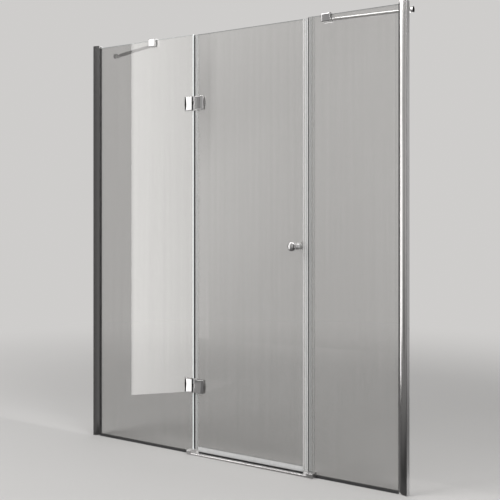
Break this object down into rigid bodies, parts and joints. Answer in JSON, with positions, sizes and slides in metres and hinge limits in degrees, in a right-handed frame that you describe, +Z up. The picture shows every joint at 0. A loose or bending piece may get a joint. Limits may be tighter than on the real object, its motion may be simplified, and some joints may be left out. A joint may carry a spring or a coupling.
{
  "type": "shower door",
  "caption": "Frameless glass shower door hung on a fixed side pane and closing on another fixed pane, with chrome wall profiles, clamp-on hinges, spool knobs and stabiliser struts.",
  "frame": {"origin": "on the floor, at mid-width between the walls, in the mid-plane of the glass", "axes": "+X to the right seen from outside the shower, +Y into the shower, +Z up"},
  "size_m": [1.6, 0.2188, 1.9],
  "materials": {
    "chrome": "polished",
    "steel": "satin",
    "glass": "clear toughened",
    "channel": "mill",
    "rubber": "matt",
    "clear_seal": "translucent",
    "magnet": "matt",
    "soft_pad": "matt",
    "bush": "matt"
  },
  "bodies": {
    "fixed_panels": {"left_wall_profile": "chrome", "right_wall_profile": "chrome", "left_profile_cap": "chrome", "right_profile_cap": "chrome", "threshold_bar": "chrome", "left_threshold_end": "chrome", "right_threshold_end": "chrome", "upper_hinge_fixed_leaf": "chrome", "lower_hinge_fixed_leaf": "chrome", "upper_hinge_fixed_plate": "chrome", "lower_hinge_fixed_plate": "chrome", "left_strut_clamp": "chrome", "right_strut_clamp": "chrome", "left_strut_bar": "chrome", "right_strut_bar": "chrome", "left_strut_ends": "chrome", "right_strut_ends": "chrome", "left_strut_flange": "chrome", "right_strut_flange": "chrome", "profile_screws": "steel", "hinge_fixed_screws": "steel", "hinge_pins": "steel", "strut_pivot_pins": "steel", "strut_clamp_screws": "steel", "left_fixed_glass": "glass", "right_fixed_glass": "glass", "left_wall_channel": "channel", "right_wall_channel": "channel", "left_glazing_gasket": "rubber", "right_glazing_gasket": "rubber", "left_floor_seal": "rubber", "right_floor_seal": "rubber", "panel_magnet_seal": "clear_seal", "panel_magnet_bar": "magnet", "hinge_fixed_pads": "soft_pad", "strut_clamp_pads": "soft_pad"},
    "door_leaf": {"door_glass": "glass", "upper_hinge_door_leaf": "chrome", "lower_hinge_door_leaf": "chrome", "upper_hinge_door_plate": "chrome", "lower_hinge_door_plate": "chrome", "hinge_door_pads": "soft_pad", "hinge_door_screws": "steel", "hinge_bushes": "bush", "outer_knob": "chrome", "inner_knob": "chrome", "knob_stud": "steel", "knob_washers": "soft_pad", "door_magnet_seal": "clear_seal", "door_magnet_bar": "magnet", "door_hinge_seal": "clear_seal", "door_bottom_sweep": "clear_seal"}
  },
  "joints": [
    {"name": "door_swing", "type": "hinge", "parent": "fixed_panels", "child": "door_leaf", "pos_m": [-0.2, 0, 0.943], "axis": [0, 0, -1], "range_deg": [0, 90]}
  ]
}
